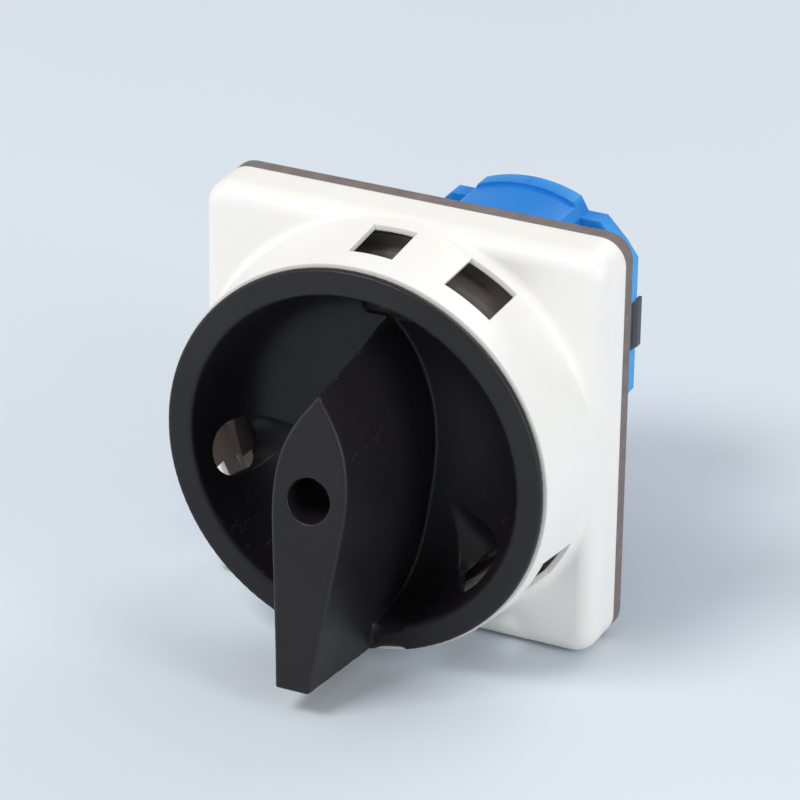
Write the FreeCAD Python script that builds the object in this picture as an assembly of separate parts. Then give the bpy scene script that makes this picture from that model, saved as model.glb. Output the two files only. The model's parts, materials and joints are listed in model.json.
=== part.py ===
import FreeCAD, Part
import math
import os

# Manual transfer switch: a padlockable rotary changeover switch, I - 0 - II.
# Millimetres. X to the right and Z up as seen from the front, Y into the panel.
# Origin: on the shaft axis, at the back face of the gasket, where the panel's front face lies.

V = FreeCAD.Vector
AXIS_X = V(1, 0, 0)
AXIS_Y = V(0, 1, 0)
AXIS_Z = V(0, 0, 1)
CENTRE = V(0, 0, 0)

# ---- driving dimensions -------------------------------------------------------------------

# fits
FIT = 0.05              # gap round a shaft, a socket or a running piece
PLAY = 0.15             # gap between a cam and what rides on it
SEAT = 0.3              # gap between the handle and the fixed collar

# escutcheon
PLATE = 64.0            # side of the square plate
PLATE_CORNER = 4.0
PLATE_EDGE = 2.8        # rounding of the plate's front edge
PLATE_FRONT = -10.3     # y of the plate's front face
GASKET_T = 2.5
WEB_T = 3.5             # floor of the escutcheon behind the handle
COLLAR_MARGIN = 0.5     # from the plate's side to the collar's foot
COLLAR_FALL = 1.3       # how much narrower the collar is at its front edge
COLLAR_FRONT = -24.2    # y of the collar's front edge
COLLAR_WALL = 0.9
COLLAR_FOOT = 1.5       # rounding where the collar meets the plate
WINDOW_Y = (-20.0, -11.5)
WINDOW_LOCK_W = 6.8     # windows that a padlock passes
WINDOW_VIEW_W = 8.2     # windows beside them
WINDOW_LOCK_ANGLES = (90, 210, 330)
WINDOW_VIEW_ANGLES = (60, 180, 300)

# panel fixing
PANEL_INSET = 8.0       # from the plate's sides to the four screws in its back
PANEL_PILOT_R = 1.7
PANEL_PILOT_DEPTH = 6.0
PANEL_CLEAR_R = 2.25    # the same holes through the gasket

# handle
RING_MARGIN = 0.4       # how far the rim ring stays inside the collar's front edge
RING_FRONT = -25.7      # y of the ring's front face
RING_T = 1.2
RING_W = 4.0            # width of the ring's flat face
RING_EDGE = 0.45
RING_IN_EDGE = 0.8
DISH_WALL = 1.5
DISH_DEPTH = 13.4       # from the ring's face to the dish's floor
DISH_BEND_W = 11.7      # width of the bend between the straight wall and the flat floor
KNEE_IN = 1.1           # where the straight wall ends: inwards from the ring's inner edge
KNEE_DEPTH = 5.4        # and back from its face
HUB_R = 7.5
GRIP_HOLE_R = 3.3
GRIP_DRAWN_FOR = 29.8   # ring radius that the grip's outlines are drawn for
GRIP_TILT = 10.5        # degrees; the lever end of the grip stands further out
GRIP_FACE_Y = -39.4     # y of the grip's face on the shaft axis
GRIP_TIP = 15.4         # from the axis to the sharp tip, along the face
GRIP_END = 28.6         # from the axis to the lever end
GRIP_FOOT_TIP = 18.3    # the same at the foot, in the dish
GRIP_FOOT_END = 30.6
GRIP_EDGE = 0.55
GRIP_SINK = 0.5         # how far the grip's foot is drawn into the dish's floor
SLOT_W = 8.2
SLOT_ANGLES = (90, 195, 315)
SLOT_TOP_IN = 8.0       # inner end of the padlock slot, inwards from the ring's inner edge
SLOT_TOP_WALL_IN = 7.3  # where that slot also cuts the wall
SLOT_IN = 2.3           # inner end of the other two
SLOT_RIM_Y = -21.7      # round end of a slot, towards the rim
SLOT_SILL = 0.6         # how far in front of the dish's floor a slot begins
SCREW_FLOOR_T = 2.0     # what the handle screw's head holds down

# lock ring
LOCK_RING_FRONT = -14.0
LOCK_RING_IN = 0.6      # how far its bore lies inside the ring's inner edge
LOCK_RING_WALL = 2.0
LOCK_RING_EDGE = 1.6
LOCK_BASE_T = 3.0       # its wider base
NOTCH_ROOM = 0.2        # play round the padlock in its notches

# shaft and its fastener
SHAFT_AF = 6.0          # across flats
SHAFT_FRONT = -24.0
SHAFT_CORNER = 1.28     # radius over the rounded corners, in half widths
JOURNAL_UNDER = 0.1     # how much the rear journal stays inside the flats
JOURNAL_OUT = 1.6       # how far it stands out of the rear housing
SHAFT_TAP = 10.0        # depth of the thread for the handle screw
GROOVE_DEPTH = 0.5
GROOVE_BACK = 0.2       # from the rear housing to the retaining ring's groove
RETAINER_T = 0.6
RETAINER_OUT = 1.2      # how far the ring stands out of the journal
SPINDLE_HOLE = 1.0      # radius of the holes the shaft passes, in widths across its flats
SCREW_R = 1.5
SCREW_HEAD_R = 2.7
SCREW_HEAD_T = 2.0
CROSS_W = 0.8           # cross recess in its head
CROSS_L = 3.6
CROSS_DEPTH = 1.1

# base flange, which centres the switch in the panel's round cut-out
FLANGE_MARGIN = 0.4     # how far the flange reaches past the rear housing's bosses
FLANGE_T = 3.0          # part of the flange behind the panel's front face
FLANGE_STEP = 1.0       # how much smaller it is inside the gasket

# body
BODY_W = 30.8           # across the flats of the mechanism and contact housings
BODY_CHAMFER = 6.0
BODY_WALL = 1.4
MECH_DEPTH = 9.6
COVER_T = 1.2
STAGE_T = 9.9
STAGES = 2

# rear housing: a tray with a raised rim, and two arched bosses that reach forward
TRAY_OUT_X = 2.2        # how far the tray reaches past the body on each side
TRAY_OUT_Z = 1.6
TRAY_T = 1.8
TRAY_CORNER = ((0.0, 6.0), (1.9, 3.4), (5.2, 0.0))  # corner points, inwards along x and z
RIM_W = 1.2
RIM_DEPTH = 2.0
BOSS_OUT = 4.9          # how far the bosses' arc reaches past the body
BOSS_LIP_OUT = 0.5
BOSS_LIP_T = 3.2
BOSS_HALF_W = 9.2
BOSS_TOP_IN = 1.6       # how much narrower a boss is at its top, on each side
BOSS_SHOULDER = 1.6     # height above the body's top at which a boss begins to narrow
BOSS_LENGTH = 10.0      # how far the bosses reach forward of the tray

# detent
STAR_R = 7.2
STAR_LOBES = 6
STAR_DIP = 0.8
STAR_T = 3.4
ROLLER_R = 1.5
CHANNEL_HALF_W = 3.2
CHANNEL_RIB_T = 1.25
CARRIER_AHEAD = 0.2     # how far the carrier reaches past the roller's axis, towards the star
CARRIER_BEHIND = 2.1
RUN_GAP = 0.3           # gap between plates that turn and the faces beside them

# rotation stop
TURN = 60.0             # degrees each way
STOP_DISC_R = 7.6
STOP_LUG_R = 10.2
STOP_LUG_HALF = 12.0    # degrees
STOP_SLACK = 1.0        # degrees
STOP_SWEEP = 14.0       # degrees, width of each fixed stop
STOP_T = 2.0

# contacts
CAM_WALL = 1.16         # wall of the cam over the bore's corners, under the plungers at rest
CAM_LIFT = 1.0          # plunger travel for a full turn to one side
CAM_T = 6.4
PLUNGER_HALF_W = 2.2
PLUNGER_T = 4.6
PLUNGER_REACH = 4.4     # from the cam to the bridge's inner face, at rest
BRIDGE_T = 0.8
BRIDGE_W = 3.8
BRIDGE_HALF_L = 8.2
TIP_Z = 6.8             # silver tips, distance from the plunger's centre line
TIP_R = 1.2
TIP_T = 0.5
FIXED_TIP_T = 0.35
CONTACT_GAP = 1.05
STRIP_T = 0.8
STRIP_W = 4.6
STRIP_START_Z = 5.2
STRIP_END_IN = 0.8      # from the strip's outer end to the housing's side
TERMINAL_IN = 3.6       # from the terminal screw's axis to the housing's side
TERMINAL_SCREW_R = 1.3
TERMINAL_HEAD_R = 2.0
TERMINAL_HEAD_T = 1.6
POCKET_X = 5.6          # inner wall of the terminal pockets
POCKET_Z = 9.4
CLAMP_T = 0.6
CLAMP_W = 4.4
WIRE_GAP = 1.6
DRIVER_SLOT_W = 0.6     # slots in the screws' heads
DRIVER_SLOT_DEPTH = 0.7
MOVE_ROOM = 0.5         # room left round the cam and the bridge
SPRING_R = 1.5          # mean radius of the springs
SPRING_WIRE = 0.45
SPRING_TURNS = 2.5

# tie bolts and base screws
TIE_IN = 2.9            # from a tie bolt's axis to the body's top or bottom
TIE_R = 1.5
TIE_POST_WALL = 1.2
TIE_END = 0.8           # how far a bolt stands out of its nut
TIE_HEAD_R = 2.8
TIE_HEAD_T = 2.4
TIE_CLEAR = 0.1
NUT_AF = 5.5
NUT_T = 2.4
BASE_SCREW_AT = 8.5
BASE_SCREW_R = 1.4
BASE_SCREW_LENGTH = 8.0
BASE_HEAD_R = 2.5
BASE_HEAD_T = 1.4
BASE_BOSS_WALL = 1.4
BASE_TIP_ROOM = 0.9     # hole left beyond a base screw's tip
BASE_CAP_T = 1.7        # and the plastic in front of that
SEAL_T = 1.8
SEAL_IN_GAP = 0.2       # between the seal and the handle's hub
SEAL_W = 1.7

# side clips
CLIP_HALF_W = 4.0
CLIP_T = 0.5
CLIP_STEP = 0.5
CLIP_GRIP = 5.5         # length that lies on the contact housing
CLIP_SLOPE_FROM = 1.6   # where it leaves the contact housing, forward of the rear housing
CLIP_TAIL = 1.2         # how far it stands out behind

# ---- places worked out from them ----------------------------------------------------------

# front
PLATE_BACK = -GASKET_T
WEB_FRONT = PLATE_BACK - WEB_T
COLLAR_R = PLATE / 2.0 - COLLAR_MARGIN
COLLAR_TIP_R = COLLAR_R - COLLAR_FALL
COLLAR_IN_R = COLLAR_TIP_R - COLLAR_WALL    # at the front edge; wider towards the plate
PANEL_HALF_PITCH = PLATE / 2.0 - PANEL_INSET
SEAL_IN_R = HUB_R + SEAL_IN_GAP
SEAL_R = SEAL_IN_R + SEAL_W
SEAL_FRONT = PLATE_BACK - SEAL_T

# handle
RING_R = COLLAR_TIP_R - RING_MARGIN
RING_IN_R = RING_R - RING_W
RING_BACK = RING_FRONT + RING_T
DISH_FLOOR = RING_FRONT + DISH_DEPTH
DISH_BACK = DISH_FLOOR + DISH_WALL
KNEE_R = RING_IN_R - KNEE_IN
DISH_FLOOR_R = KNEE_R - DISH_BEND_W
SCREW_SEAT = SHAFT_FRONT - SCREW_FLOOR_T
LOCK_RING_IN_R = RING_IN_R - LOCK_RING_IN
LOCK_RING_R = LOCK_RING_IN_R + LOCK_RING_WALL
LOCK_BASE_R = COLLAR_IN_R - SEAT
SLOT_IN_R = RING_IN_R - SLOT_IN

# body
HALF = BODY_W / 2.0
MECH_FRONT = FLANGE_T
MECH_IN = MECH_FRONT + BODY_WALL        # inside of the mechanism housing's floor
COVER_FRONT = MECH_FRONT + MECH_DEPTH
STAGE_FRONT = COVER_FRONT + COVER_T
REAR_FRONT = STAGE_FRONT + STAGES * STAGE_T
REAR_BACK = REAR_FRONT + RIM_DEPTH + TRAY_T
RIM_FRONT = REAR_BACK - BOSS_LIP_T      # the rim stands level with the boss's lip
BOSS_R = HALF + BOSS_OUT
BOSS_LIP_R = BOSS_R + BOSS_LIP_OUT
FLANGE_R = BOSS_LIP_R + FLANGE_MARGIN
TRAY_HALF_X = HALF + TRAY_OUT_X
TRAY_HALF_Z = HALF + TRAY_OUT_Z
TIE_Z = HALF - TIE_IN
BASE_SEAT = FLANGE_T - BASE_HEAD_T
BASE_HOLE_END = BASE_SEAT - BASE_SCREW_LENGTH - BASE_TIP_ROOM
SPINDLE_HOLE_R = SPINDLE_HOLE * SHAFT_AF
SPRING_WALL_X = HALF - BODY_WALL        # inner face of the body's sides

# mechanism
JOURNAL_R = SHAFT_AF / 2.0 - JOURNAL_UNDER
STAR_Y = MECH_IN + RUN_GAP
STAR_BACK = STAR_Y + STAR_T
STOP_Y = STAR_BACK + RUN_GAP
ROLLER_X = STAR_R + PLAY + ROLLER_R
CARRIER_X = (ROLLER_X - CARRIER_AHEAD, ROLLER_X + CARRIER_BEHIND)

# contacts
CAM_R = SHAFT_AF / math.sqrt(2) + CAM_WALL
CAM_RATE = CAM_LIFT / math.radians(TURN)
PLUNGER_END = CAM_R + PLUNGER_REACH
TIP_FACE = PLUNGER_END - TIP_T          # inner face of a moving tip
FIXED_FACE = TIP_FACE - CONTACT_GAP     # outer face of a fixed tip
STRIP_X = (FIXED_FACE - FIXED_TIP_T - STRIP_T, FIXED_FACE - FIXED_TIP_T)
CLAMP_X = (STRIP_X[1] + WIRE_GAP, STRIP_X[1] + WIRE_GAP + CLAMP_T)
STRIP_Z = (STRIP_START_Z, HALF - STRIP_END_IN)
TERMINAL_Z = HALF - TERMINAL_IN


# ---- helpers ------------------------------------------------------------------------------

def cyl(r, y0, y1, x=0.0, z=0.0):
    """Cylinder along Y."""
    return Part.makeCylinder(r, y1 - y0, V(x, y0, z), AXIS_Y)


def tube(r_in, r_out, y0, y1, x=0.0, z=0.0):
    return cyl(r_out, y0, y1, x, z).cut(cyl(r_in, y0 - 1, y1 + 1, x, z))


def box(x0, x1, y0, y1, z0, z1):
    return Part.makeBox(x1 - x0, y1 - y0, z1 - z0, V(x0, y0, z0))


def centred_box(half_x, y0, y1, half_z):
    return box(-half_x, half_x, y0, y1, -half_z, half_z)


def square_rod(half, y0, y1):
    return centred_box(half, y0, y1, half)


def revolve(points):
    """Solid of revolution about Y from (radius, y) points."""
    wire = Part.makePolygon([V(r, y, 0) for r, y in points + points[:1]])
    return Part.Face(wire).revolve(CENTRE, AXIS_Y, 360)


def turned(shape, degrees):
    """Copy turned about the shaft axis, anticlockwise as seen from the front."""
    copy = shape.copy()
    copy.rotate(CENTRE, AXIS_Y, -degrees)
    return copy


def prism(points, y0, y1):
    """Straight-sided prism along Y from (x, z) points."""
    wire = Part.makePolygon([V(x, y0, z) for x, z in points + points[:1]])
    return Part.Face(wire).extrude(V(0, y1 - y0, 0))


def cut_square(side, chamfer, y0, y1):
    """Square prism along Y with its four corners cut off."""
    h = side / 2.0
    c = h - chamfer
    return prism([(c, -h), (h, -c), (h, c), (c, h), (-c, h), (-h, c), (-h, -c), (-c, -h)], y0, y1)


def hexagon(across_flats, y0, y1, x=0.0, z=0.0):
    r = across_flats / math.sqrt(3)
    corners = [math.radians(60 * i) for i in range(6)]
    return prism([(x + r * math.cos(a), z + r * math.sin(a)) for a in corners], y0, y1)


def polar(radius, degrees):
    a = math.radians(degrees)
    return radius * math.cos(a), radius * math.sin(a)


def closed_spline(points, y0, y1):
    curve = Part.BSplineCurve()
    curve.interpolate([V(x, y0, z) for x, z in points], PeriodicFlag=True)
    return Part.Face(Part.Wire([curve.toShape()])).extrude(V(0, y1 - y0, 0))


def spring_x(x0, x1, y, z):
    """Coil spring along X between two faces."""
    length = abs(x1 - x0) - SPRING_WIRE - 2 * FIT
    pitch = length / SPRING_TURNS
    helix = Part.makeHelix(pitch, length, SPRING_R)
    profile = Part.Wire([Part.Circle(V(SPRING_R, 0, 0), AXIS_Y, SPRING_WIRE / 2).toShape()])
    coil = Part.Wire(helix.Edges).makePipeShell([profile], True, True)
    coil.rotate(CENTRE, AXIS_Y, 90)
    coil.translate(V(min(x0, x1) + SPRING_WIRE / 2 + FIT, y, z))
    return coil


def mirrored_x(shape):
    return shape.mirror(CENTRE, AXIS_X)


def on_side(shape, side):
    """The shape itself on the right, its mirror image on the left."""
    return shape if side > 0 else mirrored_x(shape)


def four_ways(shape):
    """The shape and its mirror images in X and Z."""
    pair = [shape, mirrored_x(shape)]
    return pair + [s.mirror(CENTRE, AXIS_Z) for s in pair]


def fuse(first, *others):
    return first.fuse(list(others)).removeSplitter()


def round_edges(solid, radius, y):
    """Circular edges of that radius about the shaft axis at that y."""
    return [e for e in solid.Edges if isinstance(e.Curve, Part.Circle)
            and abs(e.Curve.Radius - radius) < 0.01 and abs(e.BoundBox.Center.y - y) < 0.01]


NODES = {}


def add(name, *solids):
    NODES[name] = solids


# ---- front: escutcheon, gasket, seal, lock ring -------------------------------------------

def window(angle, width):
    cutter = box(COLLAR_IN_R - 2, COLLAR_R + 2, WINDOW_Y[0], WINDOW_Y[1], -width / 2, width / 2)
    return turned(cutter, angle)


def panel_holes(radius, y0, y1):
    h = PANEL_HALF_PITCH
    return [cyl(radius, y0, y1, sx * h, sz * h) for sx in (-1, 1) for sz in (-1, 1)]


def base_screw_places():
    return [(sx * BASE_SCREW_AT, sz * BASE_SCREW_AT) for sx in (-1, 1) for sz in (-1, 1)]


def rounded_square(side, corner, y0, y1):
    block = centred_box(side / 2.0, y0, y1, side / 2.0)
    along = [e for e in block.Edges if abs(e.tangentAt(e.FirstParameter).y) > 0.9]
    return block.makeFillet(corner, along)


def collar_cone(inset):
    """The collar's cone moved inwards by inset and carried back into the plate's rounding."""
    slope = COLLAR_FALL / (PLATE_FRONT - COLLAR_FRONT)
    back = PLATE_FRONT + PLATE_EDGE
    foot_r = COLLAR_R + slope * PLATE_EDGE - inset
    return Part.makeCone(foot_r, COLLAR_TIP_R - inset, back - COLLAR_FRONT, V(0, back, 0), V(0, -1, 0))


def collar_foot_edges(body):
    """Edges where the collar's cone meets the plate."""
    found = []
    for edge in body.Edges:
        cones = [isinstance(f.Surface, Part.Cone) for f in body.ancestorsOfType(edge, Part.Face)]
        if cones.count(True) == 1 and len(cones) == 2 and edge.BoundBox.YMax > COLLAR_FRONT + 1:
            found.append(edge)
    return found


def escutcheon():
    plate = rounded_square(PLATE, PLATE_CORNER, PLATE_FRONT, PLATE_BACK)
    front = [e for e in plate.Edges if e.BoundBox.YMax < PLATE_FRONT + 0.01]
    plate = plate.makeFillet(PLATE_EDGE, front)
    body = fuse(plate, collar_cone(0))
    body = body.makeFillet(COLLAR_FOOT, collar_foot_edges(body))
    body = body.cut([collar_cone(COLLAR_WALL), cyl(COLLAR_R - COLLAR_WALL, PLATE_FRONT, WEB_FRONT)])
    boss_r = BASE_SCREW_R + BASE_BOSS_WALL
    places = base_screw_places()
    body = body.fuse([cyl(boss_r, BASE_HOLE_END - BASE_CAP_T, WEB_FRONT + 1, x, z) for x, z in places])
    cuts = [cyl(HUB_R + FIT, WEB_FRONT - 1, PLATE_BACK + 1)]
    cuts.append(cyl(SEAL_R + FIT, SEAL_FRONT, PLATE_BACK + 1))
    cuts += panel_holes(PANEL_PILOT_R, PLATE_BACK - PANEL_PILOT_DEPTH, PLATE_BACK + 1)
    cuts += [cyl(BASE_SCREW_R, BASE_HOLE_END, PLATE_BACK + 1, x, z) for x, z in places]
    cuts += [window(a, WINDOW_LOCK_W) for a in WINDOW_LOCK_ANGLES]
    cuts += [window(a, WINDOW_VIEW_W) for a in WINDOW_VIEW_ANGLES]
    return body.cut(cuts)


def gasket():
    sheet = rounded_square(PLATE, PLATE_CORNER, PLATE_BACK, 0)
    holes = panel_holes(PANEL_CLEAR_R, PLATE_BACK - 1, 1)
    return sheet.cut([cyl(FLANGE_R + SEAT, PLATE_BACK - 1, 1)] + holes)


def lock_ring():
    ring = tube(LOCK_RING_IN_R, LOCK_RING_R, LOCK_RING_FRONT, WEB_FRONT)
    ring = ring.makeFillet(LOCK_RING_EDGE, round_edges(ring, LOCK_RING_R, LOCK_RING_FRONT))
    ring = ring.fuse(tube(LOCK_RING_IN_R, LOCK_BASE_R, WEB_FRONT - LOCK_BASE_T, WEB_FRONT))
    half = WINDOW_LOCK_W / 2.0 + NOTCH_ROOM
    notch_end = WINDOW_Y[1] + NOTCH_ROOM
    notch = box(LOCK_RING_IN_R - 1, LOCK_BASE_R + 1, LOCK_RING_FRONT - 1, notch_end, -half, half)
    return ring.cut([turned(notch, a) for a in WINDOW_LOCK_ANGLES])


# ---- handle -------------------------------------------------------------------------------

def bezier(points):
    curve = Part.BezierCurve()
    curve.setPoles([V(r, y, 0) for r, y in points])
    return curve.toShape()


def dish_profile(shift):
    """Edges of the dish's half section from rim to floor, moved outwards and back by shift."""
    rim = (RING_IN_R + shift, RING_FRONT)
    knee = (KNEE_R + shift, RING_FRONT + KNEE_DEPTH)
    steep = (knee[0] - 0.9 * KNEE_IN, RING_FRONT + 1.9 * KNEE_DEPTH)
    floor = DISH_FLOOR + shift
    flat = (DISH_FLOOR_R + 0.68 * DISH_BEND_W + 0.5 * shift, floor)
    wall = Part.LineSegment(V(*rim, 0), V(*knee, 0)).toShape()
    return [wall, bezier([knee, steep, flat, (DISH_FLOOR_R, floor)])]


def dish_filled(shift, rim_y):
    """Solid bounded by the dish's section, closed along the shaft axis and forward to rim_y."""
    floor = DISH_FLOOR + shift
    corner = V(RING_IN_R + shift, RING_FRONT, 0)
    closing = [V(DISH_FLOOR_R, floor, 0), V(0, floor, 0), V(0, rim_y, 0), V(corner.x, rim_y, 0)]
    edges = dish_profile(shift) + Part.makePolygon(closing).Edges
    if rim_y < RING_FRONT:
        edges.append(Part.LineSegment(closing[-1], corner).toShape())
    return Part.Face(Part.Wire(Part.__sortEdges__(edges))).revolve(CENTRE, AXIS_Y, 360)


def dish():
    solid = cyl(RING_R, RING_FRONT, RING_BACK).fuse(dish_filled(DISH_WALL, RING_FRONT))
    solid = solid.cut(dish_filled(0.0, RING_FRONT - 1))
    solid = solid.makeFillet(RING_EDGE, round_edges(solid, RING_R, RING_FRONT))
    return solid.makeFillet(RING_IN_EDGE, round_edges(solid, RING_IN_R, RING_FRONT))


def leaf(tip, end, widths):
    """Closed outline (across, along) of the grip: sharp tip, bowed sides, straight end."""
    right = [(0.0, tip)] + widths
    side_r = Part.BSplineCurve()
    side_r.interpolate([V(w, 0, s) for w, s in right])
    side_l = Part.BSplineCurve()
    side_l.interpolate([V(-w, 0, s) for w, s in reversed(right)])
    last = widths[-1][0]
    base = Part.LineSegment(V(last, 0, -end), V(-last, 0, -end))
    return Part.Wire([side_r.toShape(), base.toShape(), side_l.toShape()])


def grip():
    size = RING_R / GRIP_DRAWN_FOR
    face = leaf(GRIP_TIP, GRIP_END, [
        (2.4, 12.1), (3.9, 9.5), (5.0, 6.6), (5.7, 2.6), (5.75, -1.6),
        (5.25, -6.5), (4.5, -12.5), (3.75, -18.5), (2.6, -GRIP_END)])
    face.scale(size)
    face.rotate(CENTRE, AXIS_X, -GRIP_TILT)
    face.translate(V(0, GRIP_FACE_Y, 0))
    foot = leaf(GRIP_FOOT_TIP, GRIP_FOOT_END, [
        (2.9, 14.4), (4.6, 11.3), (5.9, 7.9), (6.9, 3.1), (7.1, -1.9),
        (6.7, -7.2), (5.8, -13.6), (5.0, -20.0), (3.9, -GRIP_FOOT_END)])
    foot.scale(size)
    foot.translate(V(0, DISH_FLOOR + GRIP_SINK, 0))
    body = Part.makeLoft([foot, face], True, True)
    front = min(body.Faces, key=lambda f: f.CenterOfMass.y)
    body = body.makeFillet(GRIP_EDGE, front.Edges)
    in_front = cyl(2 * RING_R, 2 * GRIP_FACE_Y, RING_FRONT + RING_T / 4)
    return body.common(dish_filled(DISH_WALL, RING_FRONT).fuse(in_front))


def dish_slot(angle, floor_in_r, wall_in_r):
    """Cutter: arched in the wall, and square through the outer part of the floor."""
    half = SLOT_W / 2.0
    outer = RING_IN_R + DISH_WALL + SEAT
    arch_y = SLOT_RIM_Y + half
    wall_part = box(wall_in_r, outer, arch_y, DISH_BACK + 1, -half, half)
    arch = Part.makeCylinder(half, outer - wall_in_r, V(wall_in_r, arch_y, 0), AXIS_X)
    floor_part = box(floor_in_r, outer, DISH_FLOOR - SLOT_SILL, DISH_BACK + 1, -half, half)
    return turned(wall_part.fuse([arch, floor_part]), angle)


def flute(angle, radius, end):
    """Round rod along the groove that leads over the dish's floor to a slot."""
    start = V(DISH_FLOOR_R, DISH_FLOOR - SLOT_W / 2.0, 0)
    return turned(Part.makeCylinder(radius, end - DISH_FLOOR_R, start, AXIS_X), angle)


def handle():
    body = fuse(dish(), grip())
    half = SLOT_W / 2.0
    inside = dish_filled(0.0, RING_FRONT - 1)
    body = body.fuse([flute(a, half + DISH_WALL, SLOT_IN_R).cut(inside) for a in SLOT_ANGLES[1:]])
    body = body.cut([dish_slot(SLOT_ANGLES[0], RING_IN_R - SLOT_TOP_IN, RING_IN_R - SLOT_TOP_WALL_IN)])
    slots = [dish_slot(a, SLOT_IN_R, SLOT_IN_R) for a in SLOT_ANGLES[1:]]
    body = body.cut(slots + [flute(a, half, SLOT_IN_R + 1) for a in SLOT_ANGLES[1:]])
    body = body.fuse(cyl(HUB_R, DISH_FLOOR, PLATE_BACK - FIT))
    socket = square_rod(SHAFT_AF / 2 + FIT, SHAFT_FRONT, 1)
    recess = cyl(GRIP_HOLE_R, 2 * GRIP_FACE_Y, SCREW_SEAT)
    passage = cyl(SCREW_R + PLAY, SCREW_SEAT - 1, SHAFT_FRONT + 1)
    return body.cut([socket, recess, passage])


def handle_screw():
    top = SCREW_SEAT - SCREW_HEAD_T
    head = cyl(SCREW_HEAD_R, top, SCREW_SEAT)
    shank = cyl(SCREW_R, SCREW_SEAT, SHAFT_FRONT + SHAFT_TAP - 1)
    cross = [centred_box(CROSS_W / 2, top, top + CROSS_DEPTH, CROSS_L / 2),
             centred_box(CROSS_L / 2, top, top + CROSS_DEPTH, CROSS_W / 2)]
    return head.fuse(shank).cut(cross)


# ---- shaft and what turns with it ---------------------------------------------------------

def shaft():
    half = SHAFT_AF / 2
    shoulder = REAR_FRONT - RUN_GAP
    rod = square_rod(half, SHAFT_FRONT, shoulder)
    rod = rod.common(cyl(half * SHAFT_CORNER, SHAFT_FRONT, shoulder))
    rod = rod.fuse(cyl(JOURNAL_R, shoulder, REAR_BACK + JOURNAL_OUT))
    start = REAR_BACK + GROOVE_BACK
    groove = tube(JOURNAL_R - GROOVE_DEPTH, JOURNAL_R + 1, start, start + RETAINER_T)
    tapped = cyl(SCREW_R + FIT, SHAFT_FRONT - 1, SHAFT_FRONT + SHAFT_TAP)
    return rod.cut([groove, tapped])


def retaining_ring():
    start = REAR_BACK + GROOVE_BACK
    gap = FIT / 2
    inner = JOURNAL_R - GROOVE_DEPTH + FIT
    ring = tube(inner, JOURNAL_R + RETAINER_OUT, start + gap, start + RETAINER_T - gap)
    return ring.cut(box(-RETAINER_OUT, RETAINER_OUT, start - 1, start + 2, 0, JOURNAL_R + 2))


def bore_square(y0, y1):
    return square_rod(SHAFT_AF / 2 + FIT, y0 - 1, y1 + 1)


def star_wheel():
    points = []
    steps = 8 * STAR_LOBES
    for i in range(steps):
        a = 360.0 * i / steps
        radius = STAR_R - STAR_DIP * (1 + math.cos(math.radians(STAR_LOBES * a))) / 2
        points.append(polar(radius, a))
    wheel = closed_spline(points, STAR_Y, STAR_BACK)
    return wheel.cut(bore_square(STAR_Y, STAR_BACK))


def sector(r_in, r_out, start, sweep, y0, y1):
    """Ring sector about the shaft axis; angles in degrees from +X towards +Z."""
    far = 2 * r_out
    wedge = prism([(0.0, 0.0)] + [polar(far, start + sweep * i / 2.0) for i in range(3)], y0, y1)
    return wedge.common(tube(r_in, r_out, y0, y1))


def stop_disc():
    back = STOP_Y + STOP_T
    disc = cyl(STOP_DISC_R, STOP_Y, back)
    lug = sector(STOP_DISC_R - 1, STOP_LUG_R, 90 - STOP_LUG_HALF, 2 * STOP_LUG_HALF, STOP_Y, back)
    return disc.fuse(lug).cut(bore_square(STOP_Y, back))


def cam(y0):
    """Egg-shaped cam: its radius changes evenly with the angle, so both plungers move evenly."""
    points = []
    for i in range(-9, 10):
        a = math.radians(10 * i)
        points.append(((CAM_R - CAM_RATE * a), 10.0 * i))
    right = [polar(r, a) for r, a in points]
    left = [(-x, z) for x, z in reversed(right[1:-1])]
    body = closed_spline(right + left, y0, y0 + CAM_T)
    return body.cut(bore_square(y0, y0 + CAM_T))


# ---- base flange and its fasteners --------------------------------------------------------

def tie_places():
    return [(0.0, TIE_Z), (0.0, -TIE_Z)]


def tie_holes(y0, y1):
    return [cyl(TIE_R + TIE_CLEAR, y0, y1, x, z) for x, z in tie_places()]


def base_flange():
    disc = cyl(FLANGE_R, 0, FLANGE_T).fuse(cyl(FLANGE_R - FLANGE_STEP, PLATE_BACK, 0))
    cuts = [cyl(SPINDLE_HOLE_R, PLATE_BACK - 1, FLANGE_T + 1)] + tie_holes(PLATE_BACK - 1, FLANGE_T + 1)
    head_end = PLATE_BACK + TIE_HEAD_T
    cuts += [cyl(TIE_HEAD_R + FIT, PLATE_BACK - 1, head_end, x, z) for x, z in tie_places()]
    for x, z in base_screw_places():
        cuts.append(cyl(BASE_SCREW_R + FIT, PLATE_BACK - 1, FLANGE_T + 1, x, z))
        cuts.append(cyl(BASE_HEAD_R + FIT, BASE_SEAT, FLANGE_T + 1, x, z))
    return disc.cut(cuts)


def base_screw(x, z):
    head = cyl(BASE_HEAD_R, BASE_SEAT, FLANGE_T - FIT, x, z)
    shank = cyl(BASE_SCREW_R - FIT, BASE_SEAT - BASE_SCREW_LENGTH, BASE_SEAT, x, z)
    slot = box(x - BASE_HEAD_R, x + BASE_HEAD_R, FLANGE_T - DRIVER_SLOT_DEPTH, FLANGE_T + 1,
               z - DRIVER_SLOT_W / 2, z + DRIVER_SLOT_W / 2)
    return head.fuse(shank).cut(slot)


def tie_bolt(x, z):
    head = cyl(TIE_HEAD_R, PLATE_BACK, PLATE_BACK + TIE_HEAD_T, x, z)
    shank = cyl(TIE_R, PLATE_BACK + TIE_HEAD_T, REAR_BACK + NUT_T + TIE_END, x, z)
    return head.fuse(shank)


def tie_nut(x, z):
    nut = hexagon(NUT_AF, REAR_BACK, REAR_BACK + NUT_T, x, z)
    return nut.cut(cyl(TIE_R + FIT, REAR_BACK - 1, REAR_BACK + NUT_T + 1, x, z))


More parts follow.
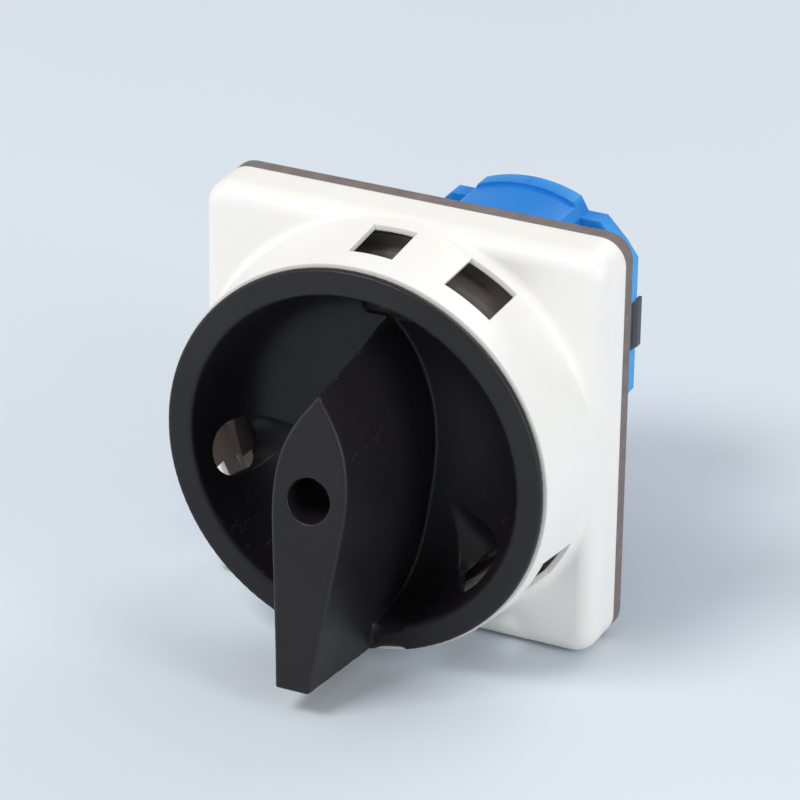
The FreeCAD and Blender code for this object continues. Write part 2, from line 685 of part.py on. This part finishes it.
# ---- mechanism housing and its cover ------------------------------------------------------

def mechanism_housing():
    block = cut_square(BODY_W, BODY_CHAMFER, MECH_FRONT, COVER_FRONT)
    inner = BODY_W - 2 * BODY_WALL
    body = block.cut(cut_square(inner, BODY_CHAMFER - 0.6 * BODY_WALL, MECH_IN, COVER_FRONT + 1))
    channel = CHANNEL_HALF_W + FIT
    rib_start = STAR_R + RUN_GAP + BODY_WALL / 2
    front = MECH_IN - BODY_WALL / 2
    rib = box(rib_start, HALF - BODY_WALL / 2, front, STAR_BACK, channel, channel + CHANNEL_RIB_T)
    posts = [cyl(TIE_R + TIE_POST_WALL, front, STAR_BACK, x, z) for x, z in tie_places()]
    holes = tie_holes(MECH_FRONT - 1, COVER_FRONT + 1)
    return body.fuse(four_ways(rib) + posts).cut([cyl(SPINDLE_HOLE_R, MECH_FRONT - 1, MECH_IN + 1)] + holes)


def mechanism_cover():
    plate = cut_square(BODY_W, BODY_CHAMFER, COVER_FRONT, STAGE_FRONT)
    start = STOP_LUG_HALF + TURN + STOP_SLACK
    stops = [sector(STOP_DISC_R + SEAT, STOP_LUG_R, first, STOP_SWEEP, STOP_Y, COVER_FRONT + COVER_T / 2)
             for first in (90 + start, 90 - start - STOP_SWEEP)]
    holes = tie_holes(COVER_FRONT - 1, STAGE_FRONT + 1)
    return plate.fuse(stops).cut([cyl(SPINDLE_HOLE_R, COVER_FRONT - 1, STAGE_FRONT + 1)] + holes)


# ---- detent -------------------------------------------------------------------------------

def detent_roller(side):
    return on_side(cyl(ROLLER_R, STAR_Y + RUN_GAP, STAR_BACK - RUN_GAP, ROLLER_X, 0), side)


def detent_carrier(side):
    half = CHANNEL_HALF_W - FIT
    block = box(CARRIER_X[0], CARRIER_X[1], STAR_Y + 2 * FIT, STAR_BACK - 2 * FIT, -half, half)
    return on_side(block.cut(cyl(ROLLER_R + FIT, STAR_Y - 1, STAR_BACK + 1, ROLLER_X, 0)), side)


def detent_spring(side):
    return on_side(spring_x(CARRIER_X[1], SPRING_WALL_X, STAR_Y + STAR_T / 2, 0), side)


# ---- contact stages -----------------------------------------------------------------------

def stage_middle(stage):
    """y of the middle of the stage's cavity."""
    front = STAGE_FRONT + stage * STAGE_T
    return front + BODY_WALL + (STAGE_T - BODY_WALL) / 2.0


def stage_housing(stage):
    front = STAGE_FRONT + stage * STAGE_T
    back = front + STAGE_T
    floor = front + BODY_WALL
    block = cut_square(BODY_W, BODY_CHAMFER, front, back)
    cam_room = CAM_R + CAM_LIFT * 90 / TURN + MOVE_ROOM
    cuts = [cyl(cam_room, floor, back + 1),
            centred_box(SPRING_WALL_X, floor, back + 1, PLUNGER_HALF_W + FIT),
            cyl(SPINDLE_HOLE_R, front - 1, floor + 1)]
    strip_in, strip_out = STRIP_X[0] - FIT, STRIP_X[1] + FIT
    bridge_end = PLUNGER_END + CAM_LIFT + BRIDGE_T + MOVE_ROOM
    bridge_half = BRIDGE_HALF_L + MOVE_ROOM
    bridge_room = box(strip_in, bridge_end, floor, back + 1, -bridge_half, bridge_half)
    cuts += [bridge_room, mirrored_x(bridge_room)]
    pocket = box(POCKET_X, HALF + 1, floor, back + 1, POCKET_Z, HALF + 1)
    strip_front = stage_middle(stage) - STRIP_W / 2 - FIT
    strip_way = box(strip_in, strip_out, strip_front, back + 1, STRIP_START_Z - FIT, POCKET_Z + 1)
    cuts += four_ways(pocket) + four_ways(strip_way)
    return block.cut(cuts + tie_holes(front - 1, back + 1))


def plunger(stage, side):
    y = stage_middle(stage)
    front, back = y - PLUNGER_T / 2, y + PLUNGER_T / 2
    tip = CAM_R + PLAY
    half = PLUNGER_HALF_W - FIT
    stem = box(tip + half, PLUNGER_END, front, back, -half, half)
    nose = cyl(half, front, back, tip + half, 0).common(box(tip, PLUNGER_END, front, back, -half, half))
    return on_side(stem.fuse(nose), side)


def contact_bridge(stage, side):
    y = stage_middle(stage)
    half = BRIDGE_W / 2.0
    bar = box(PLUNGER_END, PLUNGER_END + BRIDGE_T, y - half, y + half, -BRIDGE_HALF_L, BRIDGE_HALF_L)
    tips = [Part.makeCylinder(TIP_R, TIP_T, V(TIP_FACE, y, sz * TIP_Z), AXIS_X) for sz in (-1, 1)]
    return on_side(bar.fuse(tips), side)


def contact_spring(stage, side):
    y = stage_middle(stage)
    return on_side(spring_x(PLUNGER_END + BRIDGE_T, SPRING_WALL_X, y, 0), side)


def terminal_hole(stage):
    start = STRIP_X[0] - STRIP_T
    length = CLAMP_X[1] + CLAMP_T - start
    place = V(start, stage_middle(stage), TERMINAL_Z)
    return Part.makeCylinder(TERMINAL_SCREW_R + FIT, length, place, AXIS_X)


def fixed_contact(stage):
    y = stage_middle(stage)
    half = STRIP_W / 2.0
    strip = box(STRIP_X[0], STRIP_X[1], y - half, y + half, STRIP_Z[0], STRIP_Z[1])
    tip = Part.makeCylinder(TIP_R, FIXED_TIP_T, V(STRIP_X[1], y, TIP_Z), AXIS_X)
    return strip.fuse(tip).cut(terminal_hole(stage))


def clamp_washer(stage):
    y = stage_middle(stage)
    half = CLAMP_W / 2.0
    washer = box(CLAMP_X[0], CLAMP_X[1], y - half, y + half, TERMINAL_Z - half, TERMINAL_Z + half)
    return washer.cut(terminal_hole(stage))


def terminal_screw(stage):
    y = stage_middle(stage)
    start = STRIP_X[0] - STRIP_T
    top = CLAMP_X[1] + TERMINAL_HEAD_T
    shank = Part.makeCylinder(TERMINAL_SCREW_R, CLAMP_X[1] - start, V(start, y, TERMINAL_Z), AXIS_X)
    head = Part.makeCylinder(TERMINAL_HEAD_R, TERMINAL_HEAD_T, V(CLAMP_X[1], y, TERMINAL_Z), AXIS_X)
    half = DRIVER_SLOT_W / 2.0
    slot = box(top - DRIVER_SLOT_DEPTH, top + 1, y - TERMINAL_HEAD_R, y + TERMINAL_HEAD_R,
               TERMINAL_Z - half, TERMINAL_Z + half)
    return shank.fuse(head).cut(slot)


# ---- rear housing and its side clips ------------------------------------------------------

def tray_outline(inset, y0, y1):
    """The tray's outline, whose corners are cut twice, moved in by inset."""
    quarter = [(TRAY_HALF_X - inset - cut_x, TRAY_HALF_Z - inset - cut_z) for cut_x, cut_z in TRAY_CORNER]
    top = quarter + [(-x, z) for x, z in reversed(quarter)]
    return prism(top + [(-x, -z) for x, z in top], y0, y1)


def arched_boss():
    front = RIM_FRONT - BOSS_LENGTH
    barrel = cyl(BOSS_R, front, REAR_BACK).fuse(cyl(BOSS_LIP_R, RIM_FRONT, REAR_BACK))
    top_half_w = BOSS_HALF_W - BOSS_TOP_IN
    shoulder = [(BOSS_HALF_W, HALF + FIT), (BOSS_HALF_W, HALF + BOSS_SHOULDER),
                (top_half_w, BOSS_R - BOSS_LIP_OUT), (top_half_w, BOSS_LIP_R + 1)]
    outline = shoulder + [(-x, z) for x, z in reversed(shoulder)]
    arch = barrel.common(prism(outline, front, REAR_BACK))
    return [arch, arch.mirror(CENTRE, AXIS_Z)]


def rear_housing():
    core = cut_square(BODY_W, BODY_CHAMFER, REAR_FRONT, REAR_BACK - TRAY_T)
    tray = tray_outline(0, RIM_FRONT, REAR_BACK)
    tray = tray.cut(tray_outline(RIM_W, RIM_FRONT - 1, REAR_BACK - TRAY_T))
    body = tray.fuse([core] + arched_boss())
    half = CLIP_HALF_W + FIT
    gate = box(TRAY_HALF_X - RIM_W, TRAY_HALF_X + 1, RIM_FRONT - 1, REAR_BACK + 1, -half, half)
    cuts = [cyl(JOURNAL_R + FIT, REAR_FRONT - 1, REAR_BACK + 1), gate, mirrored_x(gate)]
    return body.cut(cuts + tie_holes(REAR_FRONT - 1, REAR_BACK + 1))


def side_clip(side):
    """Folded strip from the last contact housing out over the edge of the tray."""
    out = TRAY_HALF_X - RIM_W + FIT
    steps = [(HALF, REAR_FRONT - CLIP_GRIP), (HALF, REAR_FRONT - CLIP_SLOPE_FROM),
             (out, RIM_FRONT - CLIP_T / 2), (out, REAR_BACK - TRAY_T - CLIP_T / 2),
             (out + CLIP_STEP, REAR_BACK - TRAY_T), (out + CLIP_STEP, REAR_BACK - 1.5 * CLIP_T),
             (out + 2 * CLIP_STEP, REAR_BACK - CLIP_T / 2), (out + 2 * CLIP_STEP, REAR_BACK + CLIP_TAIL)]
    outer = [(x + CLIP_T, y) for x, y in reversed(steps)]
    wire = Part.makePolygon([V(x, y, -CLIP_HALF_W) for x, y in steps + outer + steps[:1]])
    return on_side(Part.Face(wire).extrude(V(0, 0, 2 * CLIP_HALF_W)), side)


# ---- assembly -----------------------------------------------------------------------------

add("escutcheon", escutcheon())
add("gasket", gasket())
add("shaft_seal", tube(SEAL_IN_R, SEAL_R, SEAL_FRONT + FIT, PLATE_BACK))
add("lock_ring", lock_ring())
add("handle", handle())
add("handle_screw", handle_screw())
add("shaft", shaft())
add("retaining_ring", retaining_ring())
add("base_flange", base_flange())
add("base_screws", *[base_screw(x, z) for x, z in base_screw_places()])
add("mechanism_housing", mechanism_housing())
add("star_wheel", star_wheel())
add("stop_disc", stop_disc())
add("mechanism_cover", mechanism_cover())
for side, word in ((1, "right"), (-1, "left")):
    add("detent_carrier_" + word, detent_carrier(side))
    add("detent_roller_" + word, detent_roller(side))
    add("detent_spring_" + word, detent_spring(side))
for stage in range(STAGES):
    pole = str(stage + 1)
    add("stage_housing_" + pole, stage_housing(stage))
    add("cam_" + pole, cam(stage_middle(stage) - CAM_T / 2))
    add("fixed_contacts_" + pole, *four_ways(fixed_contact(stage)))
    add("clamp_washers_" + pole, *four_ways(clamp_washer(stage)))
    add("terminal_screws_" + pole, *four_ways(terminal_screw(stage)))
    for side, word in ((1, "right"), (-1, "left")):
        add("plunger_" + pole + "_" + word, plunger(stage, side))
        add("contact_bridge_" + pole + "_" + word, contact_bridge(stage, side))
        add("contact_spring_" + pole + "_" + word, contact_spring(stage, side))
add("rear_housing", rear_housing())
add("side_clips", side_clip(1), side_clip(-1))
add("tie_bolts", *[tie_bolt(x, z) for x, z in tie_places()])
add("tie_nuts", *[tie_nut(x, z) for x, z in tie_places()])

os.makedirs("parts", exist_ok=True)
for name, solids in NODES.items():
    shape = solids[0] if len(solids) == 1 else Part.makeCompound(list(solids))
    shape.exportStep(os.path.join("parts", name + ".step"))
    print(name, len(shape.Solids), "solids", round(shape.Volume, 1), "mm3", shape.isValid())
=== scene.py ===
# Looks of the manual transfer switch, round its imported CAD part. Metres; X right, Z up, Y into
# the panel.

import json
import math

import bpy
import numpy as np
from mathutils import Matrix, Vector
from mathutils.kdtree import KDTree


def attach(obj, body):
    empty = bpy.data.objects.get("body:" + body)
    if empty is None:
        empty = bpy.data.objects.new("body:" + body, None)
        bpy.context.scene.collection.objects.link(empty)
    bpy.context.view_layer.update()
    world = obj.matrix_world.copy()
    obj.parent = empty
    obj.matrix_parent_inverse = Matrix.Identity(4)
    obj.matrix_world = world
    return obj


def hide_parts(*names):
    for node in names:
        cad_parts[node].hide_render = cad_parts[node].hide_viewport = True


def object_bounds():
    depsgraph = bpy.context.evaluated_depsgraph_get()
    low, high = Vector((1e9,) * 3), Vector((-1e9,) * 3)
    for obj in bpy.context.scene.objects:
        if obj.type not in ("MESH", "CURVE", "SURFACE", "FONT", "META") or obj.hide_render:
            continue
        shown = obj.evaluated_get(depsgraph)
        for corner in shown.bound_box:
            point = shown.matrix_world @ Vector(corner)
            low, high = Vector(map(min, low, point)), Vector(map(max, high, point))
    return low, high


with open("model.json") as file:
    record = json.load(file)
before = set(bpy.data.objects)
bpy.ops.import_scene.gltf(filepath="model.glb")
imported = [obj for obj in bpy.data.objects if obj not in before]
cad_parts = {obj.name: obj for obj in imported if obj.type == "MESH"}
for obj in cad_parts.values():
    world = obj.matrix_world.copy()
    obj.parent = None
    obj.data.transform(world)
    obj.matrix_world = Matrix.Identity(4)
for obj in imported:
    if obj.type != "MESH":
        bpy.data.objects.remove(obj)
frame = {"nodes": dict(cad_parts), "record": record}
CAD_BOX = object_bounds()
NODES = frame["nodes"]
MM = 0.001

# ---- camera -------------------------------------------------------------------------------

CAMERA_AZIMUTH = math.radians(25.235)
CAMERA_ELEVATION = math.radians(25.731)
CAMERA_ROLL = math.radians(0.819)
CAMERA_DISTANCE = 0.7062
CAMERA_ASIDE = (-0.004029, -0.000857)
CAMERA_LENS = 215.0


def add_camera():
    az, el = CAMERA_AZIMUTH, CAMERA_ELEVATION
    back = Vector((math.sin(az) * math.cos(el), -math.cos(az) * math.cos(el), math.sin(el)))
    right0 = Vector((0, 0, 1)).cross(back).normalized()
    up0 = back.cross(right0)
    right = right0 * math.cos(CAMERA_ROLL) + up0 * math.sin(CAMERA_ROLL)
    up = up0 * math.cos(CAMERA_ROLL) - right0 * math.sin(CAMERA_ROLL)
    data = bpy.data.cameras.new("camera")
    data.lens = CAMERA_LENS
    data.sensor_width = 36.0
    data.clip_start = 0.01
    data.clip_end = 20.0
    camera = bpy.data.objects.new("camera", data)
    bpy.context.scene.collection.objects.link(camera)
    place = right * CAMERA_ASIDE[0] + up * CAMERA_ASIDE[1] + back * CAMERA_DISTANCE
    camera.matrix_world = Matrix.Translation(place) @ Matrix((right, up, back)).transposed().to_4x4()
    bpy.context.scene.camera = camera


add_camera()

# ---- studio -------------------------------------------------------------------------------

FLOOR_HALF = 3.0
FLOOR_GAP = 0.2 * MM        # between the object's lowest point and the floor
LIGHT_AIM = (0, -0.01, 0)
LIGHTS = {                  # place, size, watts
    "key": ((-0.35, -0.55, 0.85), (0.45, 0.35), 5.4),
    "fill_left": ((-0.9, -0.35, 0.1), (0.4, 0.6), 1.7),
    "fill_right": ((0.85, -0.25, 0.3), (0.3, 0.6), 3.0),
    "rim_back": ((0.25, 0.75, 0.6), (0.6, 0.3), 2.0),
}
WORLD_COLOUR = (1.0, 0.985, 0.965, 1)
WORLD_STRENGTH = 0.5


def add_area_light(name, place, size, watts):
    data = bpy.data.lights.new(name, "AREA")
    data.shape = "RECTANGLE"
    data.size, data.size_y = size
    data.energy = watts
    light = bpy.data.objects.new(name, data)
    bpy.context.scene.collection.objects.link(light)
    place = Vector(place)
    turn = (Vector(LIGHT_AIM) - place).to_track_quat("-Z", "Y").to_matrix().to_4x4()
    light.matrix_world = Matrix.Translation(place) @ turn


def add_floor():
    mesh = bpy.data.meshes.new("floor")
    z = CAD_BOX[0].z - FLOOR_GAP
    half = FLOOR_HALF
    corners = [(-half, -half, z), (half, -half, z), (half, half, z), (-half, half, z)]
    mesh.from_pydata(corners, [], [(0, 1, 2, 3)])
    mesh.materials.append(floor_material())
    floor = bpy.data.objects.new("floor", mesh)
    bpy.context.scene.collection.objects.link(floor)


def add_studio():
    add_floor()
    for name, (place, size, watts) in LIGHTS.items():
        add_area_light(name, place, size, watts)
    world = bpy.data.worlds.new("studio")
    bpy.context.scene.world = world
    world.use_nodes = True
    background = world.node_tree.nodes["Background"]
    background.inputs["Color"].default_value = WORLD_COLOUR
    background.inputs["Strength"].default_value = WORLD_STRENGTH
    bpy.context.scene.view_settings.view_transform = "Standard"


# ---- materials ----------------------------------------------------------------------------


EDGE_START = 0.555          # pointiness at which an edge begins to take its painted highlight
EDGE_FULL = 0.62            # and at which the painted highlight is full
RAMP_ENDS = (0.3, 0.7)
BEVEL_SAMPLES = 6


class Shader:
    """A Principled material with small helpers for its texture nodes."""

    def __init__(self, name, edge=0.0, **inputs):
        self.material = bpy.data.materials.new(name)
        self.material.use_nodes = True
        self.tree = self.material.node_tree
        self.principled = self.tree.nodes["Principled BSDF"]
        for key, value in inputs.items():
            self.principled.inputs[key.replace("_", " ")].default_value = value
        self.place = self.node("ShaderNodeTexCoord").outputs["Object"]
        self.edge = edge

    def node(self, kind, **inputs):
        made = self.tree.nodes.new(kind)
        for key, value in inputs.items():
            made.inputs[key.replace("_", " ")].default_value = value
        return made

    def link(self, source, target):
        self.tree.links.new(source, target)

    def noise(self, scale, detail=3.0, roughness=0.55, stretch=(1, 1, 1)):
        mapping = self.node("ShaderNodeMapping", Scale=stretch)
        self.link(self.place, mapping.inputs["Vector"])
        made = self.node("ShaderNodeTexNoise", Scale=scale, Detail=detail, Roughness=roughness)
        self.link(mapping.outputs["Vector"], made.inputs["Vector"])
        return made.outputs["Fac"]

    def cells(self, scale):
        made = self.node("ShaderNodeTexVoronoi", Scale=scale)
        self.link(self.place, made.inputs["Vector"])
        return made.outputs["Distance"]

    def edges(self):
        """1 on outer edges and 0 on flat or hollow places."""
        made = self.node("ShaderNodeMapRange", From_Min=EDGE_START, From_Max=EDGE_FULL)
        self.link(self.node("ShaderNodeNewGeometry").outputs["Pointiness"], made.inputs["Value"])
        return made.outputs["Result"]

    def ramp(self, factor, low, high):
        """From the colour low to the colour high over the middle of the factor's range."""
        made = self.node("ShaderNodeValToRGB")
        first, last = made.color_ramp.elements
        first.position, last.position = RAMP_ENDS
        first.color, last.color = (*low, 1), (*high, 1)
        self.link(factor, made.inputs["Fac"])
        return made.outputs["Color"]

    def mix(self, factor, below, above):
        """below where factor is 0, the plain colour above where it is 1."""
        made = self.node("ShaderNodeMix")
        made.data_type = "RGBA"
        self.link(factor, made.inputs[0])
        self.link(below, made.inputs[6])
        made.inputs[7].default_value = (*above, 1)
        return made.outputs[2]

    def spread(self, factor, low, high):
        """The factor, stretched to run from low to high."""
        made = self.node("ShaderNodeMapRange", To_Min=low, To_Max=high)
        self.link(factor, made.inputs["Value"])
        return made.outputs["Result"]

    def colour(self, source):
        self.link(source, self.principled.inputs["Base Color"])

    def roughness(self, source):
        self.link(source, self.principled.inputs["Roughness"])

    def bumps(self, *layers):
        """layers are (height source, strength, distance in metres), laid one over another."""
        below = None
        if self.edge:
            rounded = self.node("ShaderNodeBevel", Radius=self.edge)
            rounded.samples = BEVEL_SAMPLES
            below = rounded.outputs["Normal"]
        for height, strength, distance in layers:
            made = self.node("ShaderNodeBump", Strength=strength, Distance=distance)
            self.link(height, made.inputs["Height"])
            if below is not None:
                self.link(below, made.inputs["Normal"])
            below = made.outputs["Normal"]
        self.link(below, self.principled.inputs["Normal"])


def floor_material():
    s = Shader("floor_paper")
    s.colour(s.ramp(s.noise(3.0), (0.66, 0.73, 0.80), (0.69, 0.76, 0.83)))
    s.roughness(s.spread(s.noise(40.0), 0.75, 0.9))
    s.bumps((s.noise(900.0), 0.05, 0.0002))
    return s.material


def moulded(name, low, high, rough, grain_scale, grain, edge=0.00025, edge_highlight=None, **inputs):
    """Injection-moulded plastic: a slight mottle, a spark-eroded grain, soft flow marks, and
    outer edges lightened to a painted highlight colour where one is given."""
    s = Shader(name, edge=edge, **inputs)
    tint = s.ramp(s.noise(60.0, 4.0), low, high)
    # the outer edges, found by pointiness, are lightened to a painted highlight colour
    s.colour(s.mix(s.edges(), tint, edge_highlight) if edge_highlight else tint)
    s.roughness(s.spread(s.noise(350.0, 2.0), *rough))
    s.bumps((s.noise(90.0, 2.0), 0.04, 0.0002), (s.noise(grain_scale, 2.0), grain, 0.00003))
    return s.material


def rubber(name, low, high):
    s = Shader(name, edge=0.0002)
    s.colour(s.ramp(s.noise(500.0, 4.0), low, high))
    s.roughness(s.spread(s.noise(700.0), 0.62, 0.85))
    s.bumps((s.cells(2600.0), 0.35, 0.00005), (s.noise(150.0), 0.1, 0.0001))
    return s.material


def metal(name, low, high, rough, stretch=(1, 1, 1)):
    """Bare metal; its fine scratches run along one axis where stretch says so."""
    s = Shader(name, edge=0.00012, Metallic=1.0)
    s.colour(s.ramp(s.noise(100.0), low, high))
    s.roughness(s.spread(s.noise(600.0, 3.0, 0.6, stretch), *rough))
    s.bumps((s.noise(600.0, 3.0, 0.6, stretch), 0.15, 0.00003))
    return s.material


MATERIALS = {
    "white_plastic": moulded(
        "white_plastic", (0.86, 0.848, 0.82), (0.90, 0.888, 0.86), (0.34, 0.44), 3000.0, 0.08,
        edge=0.0003, Subsurface_Weight=0.08, Subsurface_Scale=0.002),
    "black_plastic": moulded(
        "black_plastic", (0.0085, 0.0072, 0.0092), (0.0125, 0.0108, 0.0135), (0.36, 0.48), 2400.0, 0.45,
        # its outer edges get a lighter colour, a painted highlight
        edge_highlight=(0.036, 0.034, 0.038), Specular_IOR_Level=0.36),
    "grey_plastic": moulded(
        "grey_plastic", (0.16, 0.138, 0.125), (0.21, 0.183, 0.166), (0.18, 0.28), 2200.0, 0.12),
    "dark_plastic": moulded(
        "dark_plastic", (0.02, 0.02, 0.022), (0.03, 0.03, 0.033), (0.4, 0.55), 2200.0, 0.2),
    "blue_plastic": moulded(
        "blue_plastic", (0.010, 0.185, 0.60), (0.018, 0.23, 0.70), (0.34, 0.46), 2600.0, 0.1,
        # its outer edges get a lighter colour, a painted highlight
        edge_highlight=(0.06, 0.36, 0.82), Specular_IOR_Level=0.15),
    "cam_plastic": moulded(
        "cam_plastic", (0.68, 0.64, 0.52), (0.74, 0.70, 0.58), (0.35, 0.5), 1800.0, 0.1),
    "gasket_rubber": rubber("gasket_rubber", (0.155, 0.125, 0.12), (0.205, 0.17, 0.165)),
    "seal_rubber": rubber("seal_rubber", (0.015, 0.015, 0.015), (0.03, 0.03, 0.03)),
    "steel": metal("steel", (0.50, 0.50, 0.50), (0.62, 0.61, 0.59), (0.25, 0.42)),
    "spring_steel": metal("spring_steel", (0.42, 0.42, 0.43), (0.52, 0.52, 0.53), (0.2, 0.35)),
    "clip_metal": metal(
        "clip_metal", (0.075, 0.078, 0.092), (0.115, 0.12, 0.14), (0.32, 0.5), (1, 12, 1)),
    "brass": metal("brass", (0.72, 0.46, 0.17), (0.80, 0.55, 0.24), (0.22, 0.4)),
}
MATERIALS["grey_blue_plastic"] = MATERIALS["blue_plastic"]


def paint_nodes():
    slots = {part["node"]: part["material_slot"] for part in frame["record"]["subparts"]}
    for name, node in NODES.items():
        node.data.materials.clear()
        node.data.materials.append(MATERIALS[slots[name]])


# ---- handle skin --------------------------------------------------------------------------

SKIN_VOXEL = 0.2 * MM
BLEND_REACH = 3.2 * MM      # how far from the junction the surface is blended
BLEND_REACH_RIM = 1.2 * MM  # the same near the rim
BLEND_INSIDE = 22.0 * MM    # radius that counts as near the rim
BLEND_LIMIT = 24.6 * MM     # nothing is blended further out, apart from beside the lever
BLEND_FRONT = -11.9 * MM    # or further back, behind the dish's floor
BLEND_TOP = 15.5 * MM       # or higher, where the padlock slot is
BLEND_GRIP = -26.6 * MM     # or further forward, on the grip itself
LEVER_HALF_W = 8.0 * MM
BLEND_STEPS = 140
POLISH_STEPS = 3            # light smoothing over the whole skin
CONCAVE = math.radians(20)  # sharpest bend that is not yet an inner corner
CORNER_SPACING = 0.5 * MM   # between the points along an inner corner
POLISH_WEIGHT = 0.5
BLEND_WEIGHT = 0.9


def is_blended(point):
    radius = math.hypot(point.x, point.z)
    beside_lever = abs(point.x) < LEVER_HALF_W and point.z < 0
    in_depth = BLEND_GRIP < point.y < BLEND_FRONT
    return in_depth and point.z < BLEND_TOP and (radius < BLEND_LIMIT or beside_lever)


def concave_points(mesh):
    """Points along the mesh's inner corners where the grip rises from the dish."""
    sides = {}
    for face in mesh.polygons:
        for key in face.edge_keys:
            sides.setdefault(key, []).append(face)
    points = []
    for (a, b), faces in sides.items():
        if len(faces) != 2:
            continue
        first, second = faces
        bend = first.normal.angle(second.normal, 0.0)
        inward = (second.center - first.center).dot(first.normal) > 0
        start, end = mesh.vertices[a].co, mesh.vertices[b].co
        if bend > CONCAVE and inward and is_blended((start + end) / 2):
            count = max(1, int((end - start).length / CORNER_SPACING))
            points += [start.lerp(end, i / count) for i in range(count + 1)]
    return points


def remeshed(node, name):
    """A copy of the node's shape on an even grid."""
    mesh = node.data.copy()
    mesh.name = name
    copy = bpy.data.objects.new(name, mesh)
    bpy.context.scene.collection.objects.link(copy)
    grid = copy.modifiers.new("grid", "REMESH")
    grid.mode = "VOXEL"
    grid.voxel_size = SKIN_VOXEL
    grid.use_smooth_shade = True
    shape = copy.evaluated_get(bpy.context.evaluated_depsgraph_get())
    copy_mesh = bpy.data.meshes.new_from_object(shape)
    copy.modifiers.clear()
    copy.data = copy_mesh
    return copy


def smoothed(places, edges, weights, steps):
    """Each place moves towards the middle of its neighbours, by its weight, steps times."""
    a, b = edges[:, 0], edges[:, 1]
    count = np.bincount(np.concatenate([a, b]), minlength=len(places))[:, None]
    for _ in range(steps):
        total = np.zeros_like(places)
        for axis in range(3):
            total[:, axis] = np.bincount(a, places[b, axis], len(places))
            total[:, axis] += np.bincount(b, places[a, axis], len(places))
        places = places + weights[:, None] * (total / count - places)
    return places


def handle_skin():
    """The handle with the grip drawn smoothly into the dish."""
    node = NODES["handle"]
    corners = concave_points(node.data)
    tree = KDTree(len(corners))
    for i, point in enumerate(corners):
        tree.insert(point, i)
    tree.balance()
    skin = remeshed(node, "handle_skin")
    mesh = skin.data
    places = np.empty(len(mesh.vertices) * 3)
    mesh.vertices.foreach_get("co", places)
    places = places.reshape(-1, 3)
    edges = np.empty(len(mesh.edges) * 2, dtype=np.int64)
    mesh.edges.foreach_get("vertices", edges)
    edges = edges.reshape(-1, 2)
    near = np.zeros(len(places))
    for i, place in enumerate(places):
        corner, _, away = tree.find(place)
        reach = BLEND_REACH if math.hypot(corner.x, corner.z) < BLEND_INSIDE else BLEND_REACH_RIM
        near[i] = max(0.0, 1 - away / reach)
    places = smoothed(places, edges, np.full(len(places), POLISH_WEIGHT), POLISH_STEPS)
    blend = near * near * (3 - 2 * near) * BLEND_WEIGHT
    places = smoothed(places, edges, blend, BLEND_STEPS)
    mesh.vertices.foreach_set("co", places.ravel())
    mesh.update()
    mesh.materials.clear()
    mesh.materials.append(MATERIALS["black_plastic"])
    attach(skin, "rotor")
    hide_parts("handle")


paint_nodes()
handle_skin()
add_studio()
